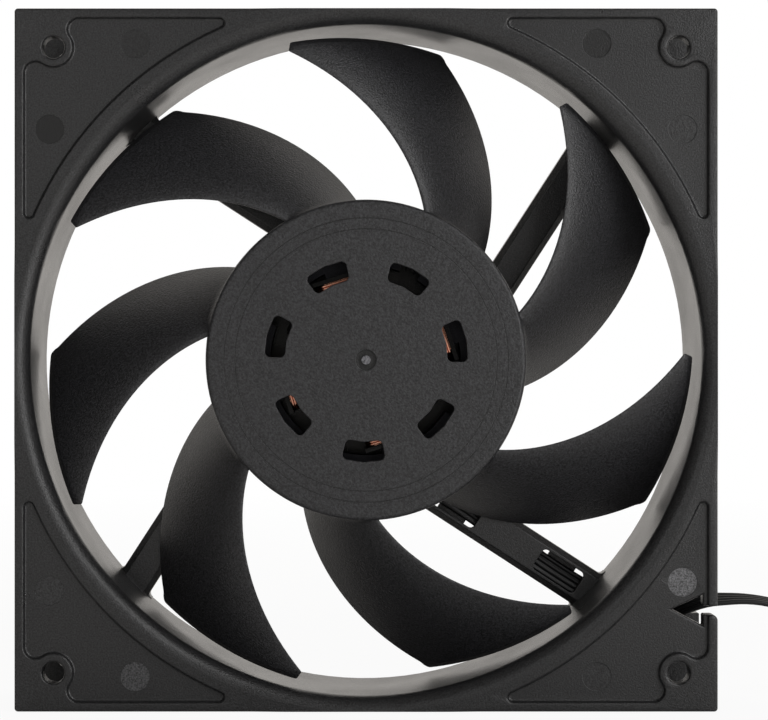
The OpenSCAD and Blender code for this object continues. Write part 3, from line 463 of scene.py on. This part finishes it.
def bladePoint(r, e, side):
    out = (r - blade["hubRadius"]) / (blade["tipRadius"] - blade["hubRadius"])
    thick = blade["rootThick"] + (blade["tipThick"] - blade["rootThick"]) * out
    foil = sum(term * e ** power for term, power in zip(foilTerms, (0.5, 1, 2, 3, 4)))
    lead, trail = cornerCuts(r)
    s = lead * (1 - e) + (1 - trail) * e
    keep = min(1, (blade["tipRadius"] - r) / blade["tipBand"]) if side > 0 else 1
    h = side * keep * (thick * foil + blade["edgeThick"] * e) / 2
    far = min(max(r - blade["hubRadius"], 0), blade["fillet"])
    swell = blade["fillet"] - math.sqrt(blade["fillet"] ** 2 - (blade["fillet"] - far) ** 2)
    h += side * swell * min(1, blade["filletFade"] * e)
    run = r * math.radians(chordAngle(r))
    fall = blade["fall"] * (1 - 4 * blade["camber"] * (1 - 2 * s))
    slope = math.hypot(run, fall)
    a = math.radians(blade["phase"] + blade["sweep"] * (r - blade["hubRadius"]) - chordAngle(r) * s)
    a -= h * fall / slope / r
    z = blade["leadingZ"] - blade["fall"] * (s - 4 * blade["camber"] * s * (1 - s)) + h * run / slope
    return (r * math.cos(a), r * math.sin(a), z)


def turned(point, angle):
    x, y, z = point
    return (x * math.cos(angle) - y * math.sin(angle), x * math.sin(angle) + y * math.cos(angle), z)


chordSteps = blade["chordSteps"]
shares = [(1 - math.cos(math.pi * k / chordSteps)) / 2 for k in range(chordSteps + 1)]
around = [(e, 1) for e in shares] + [(e, -1) for e in reversed(shares)]
lastColumn, lastRow = len(around) - 1, len(bladeRadii) - 1
bladeParts = []
for k in range(blade["count"]):
    bpy.ops.object.select_all(action="DESELECT")
    bpy.ops.mesh.primitive_grid_add(x_subdivisions=lastColumn, y_subdivisions=lastRow, size=2)
    part = bpy.context.object
    for v in part.data.vertices:
        e, side = around[round((v.co.x + 1) / 2 * lastColumn)]
        row = round((v.co.y + 1) / 2 * lastRow)
        if row in (0, lastRow):  # the end rows close the blade
            side = 0
        v.co = place(*turned(bladePoint(bladeRadii[row], e, side), 2 * math.pi * k / blade["count"]))
    editAll(part)
    bpy.ops.mesh.remove_doubles(threshold=weld["doubles"] * mm)
    bpy.ops.mesh.select_all(action="SELECT")
    bpy.ops.mesh.normals_make_consistent(inside=False)
    bpy.ops.object.mode_set(mode="OBJECT")
    bladeParts.append(part)
hubEdges = {
    "rounding": 0.24,  # mm, on the rims of the vent slots
    "front": 11.5,
    "slots": (14, 24),  # mm, from where to where they reach
    "grooves": (26, 29),  # the fine lines round them have little room
    "grooveShare": 0.12,
    "paintedGrooveShade": -0.6,  # painted shade in the fine grooves, so that they read as darker lines
    "grooveDepth": (11.9, 11.985),  # mm, just under the hub's front
    "otherShare": 0.29,
}


def hubShare(x, y, z):
    r = math.hypot(x, y)
    if z > hubEdges["front"] and within(r, hubEdges["slots"]):
        return 1
    if z > hubEdges["front"] and within(r, hubEdges["grooves"]):
        return hubEdges["grooveShare"]
    return hubEdges["otherShare"]


hub = weldedCopy("impeller_moulding", "impeller_hub")
softenEdges(hub, hubEdges["rounding"], blade["sharp"], hubShare)
for part in bladeParts:
    select(part)
    bpy.ops.object.shade_smooth_by_angle(angle=math.radians(blade["sharp"]))
for part in bladeParts:
    part.select_set(True)
hub.select_set(True)
bpy.context.view_layer.objects.active = hub
bpy.ops.object.join()
impeller = hub
gate = {  # the mark in the hub's middle, with its painted highlight and shade
    "outer": 2.1,  # mm
    "nub": 0.9,
    "front": 11.9,
    "facing": 0.5,  # how squarely the nub's faces that take the painted highlight look to the front
    "dark": -0.95,  # painted shade in the recessed ring round the nub, as how much lighter it is drawn than the hub
    # painted highlight on the nub's rounded top, as how much lighter it is drawn than the hub
    "highlight": 6,
}
# Painted light and shade on the hub: a highlight on the gate's nub, shade in the gate's ring and in the
# fine grooves
painted_light = impeller.data.attributes.new("painted_light", "FLOAT", "FACE")
for face in impeller.data.polygons:
    x, y, z = fanAxes(face.center)
    r = math.hypot(x, y)
    if r < gate["nub"] and -face.normal.y > gate["facing"]:
        painted_light.data[face.index].value = gate["highlight"]
    elif r < gate["outer"] and z < gate["front"]:
        painted_light.data[face.index].value = gate["dark"]
    elif within(r, hubEdges["grooves"]) and within(z, hubEdges["grooveDepth"]):
        painted_light.data[face.index].value = hubEdges["paintedGrooveShade"]
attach(impeller, "rotor")
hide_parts("impeller_hub", "impeller_blades")
print("impeller,", len(impeller.data.polygons), "faces")

# Windings: fine wire in close turns over the solid inner layers
winding = {
    "poles": 4,
    "phase": 18,
    "middle": -0.755,  # mm, height along the axis
    "wire": 0.46,
    "first": 8.56,  # mm from the axis
    "last": 17.04,
    "layers": [(4.82, 5.83), (5.14, 6.15)],  # half width and half height of each layer
    "corner": 1.6,
    "cornerSteps": 4,
    "sides": 6,  # of the wire
    "bobbinRounding": 0.05,
    "bobbinTight": (2.7, 2.9),  # mm along the axis, where two edges lie too close to be rounded
    "sharp": 40,
}


def windingLine(halfWide, halfHigh, outward):
    turns = int((winding["last"] - winding["first"]) / winding["wire"]) - 1
    steps = 4 * (winding["cornerSteps"] + 1)
    span = winding["last"] - winding["first"] - winding["wire"]
    bend = winding["corner"]
    points = []
    for j in range(turns * steps + 1):
        corner, part = divmod(j % steps, winding["cornerSteps"] + 1)
        a = math.radians(90 * corner + 90 * part / winding["cornerSteps"])
        y = (1 if corner in (0, 3) else -1) * (halfWide - bend) + bend * math.cos(a)
        z = (1 if corner < 2 else -1) * (halfHigh - bend) + bend * math.sin(a)
        share = j / (turns * steps)
        x = winding["first"] + winding["wire"] / 2 + span * (share if outward else 1 - share)
        points.append((x, y, z + winding["middle"]))
    return points


wireTurns = [2 * math.pi * m / winding["sides"] for m in range(winding["sides"])]
wireSection = [(winding["wire"] / 2 * math.cos(a), winding["wire"] / 2 * math.sin(a)) for a in wireTurns]
coilParts = []
for k in range(winding["poles"]):
    turn = math.radians(winding["phase"] + 360 / winding["poles"] * k)
    outwardGuide = place(*turned((1, 0, 0), turn)) - place(0, 0, 0)
    for layer, (halfWide, halfHigh) in enumerate(winding["layers"]):
        points = [place(*turned(p, turn)) for p in windingLine(halfWide, halfHigh, layer == 0)]
        coilParts.append(sweep("winding_part", points, [outwardGuide] * len(points), wireSection))
bpy.ops.object.select_all(action="DESELECT")
for part in coilParts:
    part.select_set(True)
bpy.context.view_layer.objects.active = coilParts[0]
bpy.ops.object.join()
windings = coilParts[0]
windings.name = "windings"
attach(windings, "frame")
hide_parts("coil_outer_layers")
bobbin = weldedCopy("bobbin_moulding", "upper_bobbin")
softenEdges(bobbin, winding["bobbinRounding"], winding["sharp"],
            lambda x, y, z: 0 if within(z, winding["bobbinTight"]) else 1)
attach(bobbin, "frame")
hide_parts("upper_bobbin")
print("windings,", len(windings.data.polygons), "faces")


# Finishes: grain is the size of the surface's texture in mm, depth its height, tone how far its colour
# varies. The frame's and the impeller's grain is really about 0.1 mm, and is drawn coarser and deeper so
# that it shows.
finishes = {
    "textured_pbt": {  # even dark grey with a fine spark-eroded grain
        "color": "#232324", "tone": 0.8, "grain": 0.32, "depth": 0.065, "rough": (0.27, 0.37)},
    "satin_pbt": {  # a little smoother than the frame, with a satin sheen
        "color": "#272729", "tone": 0.75, "grain": 0.38, "depth": 0.11, "rough": (0.36, 0.46)},
    "black_vinyl": {  # smooth black vinyl
        "color": "#131314", "tone": 0.15, "grain": 0.8, "depth": 0.01, "rough": (0.34, 0.46),
        "specular": 0.35},
    "glossy_nylon": {  # shiny black moulding
        "color": "#0b0b0c", "tone": 0.2, "grain": 0.5, "depth": 0.006, "rough": (0.14, 0.26),
        "specular": 0.25},
    "matt_nylon": {  # matt black
        "color": "#1c1c1e", "tone": 0.15, "grain": 0.25, "depth": 0.008, "rough": (0.42, 0.55)},
    "white_acetal": {  # milky white
        "color": "#dcd8cc", "tone": 0.06, "grain": 0.5, "depth": 0.005, "rough": (0.35, 0.5)},
    "moulded_epoxy": {  # dull black
        "color": "#1d1d1f", "tone": 0.2, "grain": 0.12, "depth": 0.004, "rough": (0.5, 0.65)},
    "fired_ceramic": {  # tan, lightly glazed
        "color": "#b39b74", "tone": 0.12, "grain": 0.2, "depth": 0.003, "rough": (0.25, 0.4)},
    "lacquered_laminate": {  # black lacquer over a faint weave
        "color": "#151816", "tone": 0.15, "grain": 0.4, "depth": 0.004, "rough": (0.2, 0.35)},
    "bonded_ferrite": {  # dark brown and matt
        "color": "#3a322e", "tone": 0.2, "grain": 0.15, "depth": 0.008, "rough": (0.55, 0.7)},
    "turned_brass": {  # bright turned metal
        "color": "#d9b25c", "tone": 0.1, "grain": 0.1, "depth": 0.002, "rough": (0.2, 0.32), "metal": 1},
    "sintered_bronze": {  # porous and oily
        "color": "#a8743c", "tone": 0.25, "grain": 0.12, "depth": 0.006, "rough": (0.3, 0.5), "metal": 1},
    "varnished_steel": {  # sheet steel under black varnish
        "color": "#2c2c2f", "tone": 0.15, "grain": 0.35, "depth": 0.006, "rough": (0.35, 0.5), "metal": 1},
    "drawn_steel": {  # drawn steel
        "color": "#96989b", "tone": 0.12, "grain": 0.2, "depth": 0.003, "rough": (0.3, 0.42), "metal": 1},
    "ground_steel": {  # mirror-like
        "color": "#cfd1d3", "tone": 0.05, "grain": 0.08, "depth": 0.0006, "rough": (0.1, 0.18), "metal": 1},
    "enamelled_copper": {  # warm wire under clear lacquer
        "color": "#d09780", "tone": 0.25, "grain": 0.6, "depth": 0.004, "rough": (0.16, 0.28), "metal": 1},
    "soldered_tin": {  # soft grey solder
        "color": "#c4c4c0", "tone": 0.1, "grain": 0.15, "depth": 0.003, "rough": (0.25, 0.4), "metal": 1},
    "plated_brass": {  # plated strip
        "color": "#d6c078", "tone": 0.08, "grain": 0.1, "depth": 0.001, "rough": (0.2, 0.3), "metal": 1},
}
cloudSize = 50 / 3  # mm, of the slow change in gloss over a surface
noiseSpan = {"From Min": 0.3, "From Max": 0.7}  # where most of a noise's values lie
materials = {}
for name, look in finishes.items():
    mat = bpy.data.materials.new(name)
    mat.use_nodes = True
    tree = mat.node_tree
    shader = tree.nodes["Principled BSDF"]
    where = addNode(tree, "ShaderNodeTexCoord").outputs["Object"]
    grain = addNode(tree, "ShaderNodeTexNoise",
                    {"Scale": 1 / (look["grain"] * mm), "Detail": 2, "Roughness": 0.5}, {"Vector": where})
    cloud = addNode(tree, "ShaderNodeTexNoise",
                    {"Scale": 1 / (cloudSize * mm), "Detail": 3, "Roughness": 0.55}, {"Vector": where})
    base = hexColor(look["color"])
    dark, light = [tuple(c * (1 + look["tone"] * s) for c in base[:3]) + (1,) for s in (-1, 1)]
    share = addNode(tree, "ShaderNodeMapRange", noiseSpan, {"Value": grain.outputs["Fac"]})
    ramp = addNode(tree, "ShaderNodeValToRGB", {}, {"Fac": share.outputs["Result"]})
    ramp.color_ramp.elements[0].color = dark
    ramp.color_ramp.elements[1].color = light
    mark = addNode(tree, "ShaderNodeAttribute", attribute_name="painted_light")  # painted highlights and shade on a moulding's marks and grooves
    paintedLightScale = addNode(tree, "ShaderNodeMath", {1: 1}, {0: mark.outputs["Fac"]}, operation="ADD")
    paintedLitColor = addNode(tree, "ShaderNodeVectorMath", {}, {0: ramp.outputs["Color"], "Scale": paintedLightScale.outputs[0]},
                     operation="SCALE")
    tree.links.new(paintedLitColor.outputs[0], shader.inputs["Base Color"])
    rough = addNode(tree, "ShaderNodeMapRange",
                    {**noiseSpan, "To Min": look["rough"][0], "To Max": look["rough"][1]},
                    {"Value": cloud.outputs["Fac"]})
    tree.links.new(rough.outputs["Result"], shader.inputs["Roughness"])
    bump = addNode(tree, "ShaderNodeBump", {"Strength": 1, "Distance": look["depth"] * mm},
                   {"Height": grain.outputs["Fac"]})
    tree.links.new(bump.outputs["Normal"], shader.inputs["Normal"])
    shader.inputs["Metallic"].default_value = look.get("metal", 0)
    shader.inputs["Specular IOR Level"].default_value = look.get("specular", 0.5)
    materials[name] = mat

wearers = {
    "textured_pbt": [frameBody, nodes["frame"]],
    "satin_pbt": [impeller, nodes["impeller_hub"], nodes["impeller_blades"]],
    "black_vinyl": [cableHeld, cableFree] + [
        nodes[n] for n in ("cable_in_strut", "cable_lead", "cable_coil", "cable_tail")],
    "glossy_nylon": [cableTie, bobbin] + [
        nodes[n] for n in ("bearing_cap", "lower_bobbin", "upper_bobbin", "cable_tie")],
    "matt_nylon": [plug, nodes["connector_housing"]],
    "white_acetal": [nodes[n] for n in ("thrust_pad", "oil_seal", "shaft_clip")],
    "moulded_epoxy": [nodes[n] for n in ("hall_sensor", "driver_chip", "board_resistors")],
    "fired_ceramic": [nodes["board_capacitors"]],
    "lacquered_laminate": [nodes["circuit_board"]],
    "bonded_ferrite": [nodes["rotor_magnet"]],
    "turned_brass": [nodes["bearing_tube"], nodes["shaft_bush"]],
    "sintered_bronze": [nodes["bearing_sleeve"]],
    "varnished_steel": [nodes["stator_core"]],
    "drawn_steel": [nodes["rotor_yoke"]],
    "ground_steel": [nodes["shaft"]],
    "enamelled_copper": [windings, nodes["coil_inner_layers"], nodes["coil_outer_layers"]],
    "soldered_tin": [nodes["winding_pins"], nodes["wire_ends"]],
    "plated_brass": [nodes["connector_contacts"]],
}
for name, worn in wearers.items():
    for obj in worn:
        obj.data.materials.clear()
        obj.data.materials.append(materials[name])
print("finishes on", sum(len(w) for w in wearers.values()), "objects")

# Studio: a pale floor, a white surround behind, and soft lamps in front
studio = {
    "floorSize": 6,
    "floorDrop": 0.1,  # mm
    "floorColor": "#f4f4f4",
    "floorRough": 0.9,
    "floorShade": 0.08,  # how much of the floor's own shading shows near the fan
    "shadeReach": (0.15, 0.7),  # m, where it begins to fade and where it ends
    "mirrorReach": (0.02, 0.15),  # m behind the fan, from where mirrored rays see the floor white
    "behind": (-0.1, 0.4),  # the same for the surround, as how far a direction points to the back
    "left": 0.12,  # brightness of the room on either side
    "right": 0.22,
    "roomColor": "#fffaf4",  # a little warm where the duct mirrors it
}
bpy.ops.object.select_all(action="DESELECT")
bpy.ops.mesh.primitive_plane_add(size=studio["floorSize"], location=(0, 0, -studio["floorDrop"] * mm))
floor = bpy.context.object
floor.name = "floor"
mat = bpy.data.materials.new("white_paper")  # pale floor that keeps a soft shadow
mat.use_nodes = True
tree = mat.node_tree
paper = tree.nodes["Principled BSDF"]
paper.inputs["Base Color"].default_value = hexColor(studio["floorColor"])
paper.inputs["Roughness"].default_value = studio["floorRough"]
rays = addNode(tree, "ShaderNodeLightPath").outputs
direct = addNode(tree, "ShaderNodeMath", {}, {0: rays["Is Camera Ray"], 1: rays["Is Transmission Ray"]},
                 operation="MAXIMUM")
tone = addNode(tree, "ShaderNodeMix", {6: hexColor(studio["roomColor"]), 7: (1, 1, 1, 1)},
               {0: direct.outputs[0]}, data_type="RGBA")
glow = addNode(tree, "ShaderNodeEmission", {"Strength": 1}, {"Color": tone.outputs[2]})
spot = addNode(tree, "ShaderNodeTexCoord").outputs["Object"]
backward = addNode(tree, "ShaderNodeMapRange",
                   {"From Min": studio["mirrorReach"][0], "From Max": studio["mirrorReach"][1]},
                   {"Value": addNode(tree, "ShaderNodeSeparateXYZ", {}, {0: spot}).outputs["Y"]})
mirrored = addNode(tree, "ShaderNodeMath", {}, {0: rays["Is Glossy Ray"], 1: backward.outputs[0]},
                   operation="MULTIPLY")
seen = addNode(tree, "ShaderNodeMath", {}, {0: direct.outputs[0], 1: mirrored.outputs[0]},
               operation="MAXIMUM")
away = addNode(tree, "ShaderNodeVectorMath", {}, {0: spot}, operation="LENGTH")
white = addNode(tree, "ShaderNodeMapRange",
                {"From Min": studio["shadeReach"][0], "From Max": studio["shadeReach"][1],
                 "To Min": 1 - studio["floorShade"], "To Max": 1}, {"Value": away.outputs["Value"]})
shown = addNode(tree, "ShaderNodeMath", {}, {0: seen.outputs[0], 1: white.outputs[0]}, operation="MULTIPLY")
mixed = addNode(tree, "ShaderNodeMixShader", {},
                {0: shown.outputs[0], 1: paper.outputs[0], 2: glow.outputs[0]})
tree.links.new(mixed.outputs[0], tree.nodes["Material Output"].inputs["Surface"])
floor.data.materials.append(mat)

world = bpy.data.worlds.new("studio")
bpy.context.scene.world = world
world.use_nodes = True
tree = world.node_tree
sky = tree.nodes["Background"]
outward = addNode(tree, "ShaderNodeTexCoord").outputs["Generated"]
facing = addNode(tree, "ShaderNodeSeparateXYZ", {}, {0: outward})
behind = addNode(tree, "ShaderNodeMapRange",
                 {"From Min": studio["behind"][0], "From Max": studio["behind"][1]},
                 {"Value": facing.outputs["Y"]})
side = addNode(tree, "ShaderNodeMapRange",
               {"From Min": -1, "From Max": 1, "To Min": studio["left"], "To Max": studio["right"]},
               {"Value": facing.outputs["X"]})
room = addNode(tree, "ShaderNodeMath", {}, {0: behind.outputs[0], 1: side.outputs[0]}, operation="MAXIMUM")
rays = addNode(tree, "ShaderNodeLightPath").outputs
seen = addNode(tree, "ShaderNodeMath", {}, {0: rays["Is Camera Ray"], 1: rays["Is Transmission Ray"]},
               operation="MAXIMUM")
level = addNode(tree, "ShaderNodeMath", {}, {0: room.outputs[0], 1: seen.outputs[0]}, operation="MAXIMUM")
tone = addNode(tree, "ShaderNodeMix", {6: hexColor(studio["roomColor"]), 7: (1, 1, 1, 1)},
               {0: seen.outputs[0]}, data_type="RGBA")
tree.links.new(tone.outputs[2], sky.inputs["Color"])
tree.links.new(level.outputs[0], sky.inputs["Strength"])

lamps = {
    "front": {"place": (430, 60, 850), "size": (0.5, 0.8), "watts": 1.6},
    "fill": {"place": (-350, 250, 850), "size": (0.5, 0.5), "watts": 0.65},
    "high": {"place": (380, 420, 420), "size": (0.3, 0.3), "watts": 1},
    "side": {"place": (520, 40, 480), "size": (0.3, 0.15), "watts": 0.9},
}
for name, lamp in lamps.items():
    data = bpy.data.lights.new(name, "AREA")
    data.shape = "RECTANGLE"
    data.size, data.size_y = lamp["size"]
    data.energy = lamp["watts"]
    obj = bpy.data.objects.new(name, data)
    bpy.context.scene.collection.objects.link(obj)
    obj.location = place(*lamp["place"])
    obj.rotation_euler = (place(0, 0, 0) - obj.location).to_track_quat("-Z", "Y").to_euler()
print("studio set")

bpy.context.scene.view_settings.view_transform = "Standard"
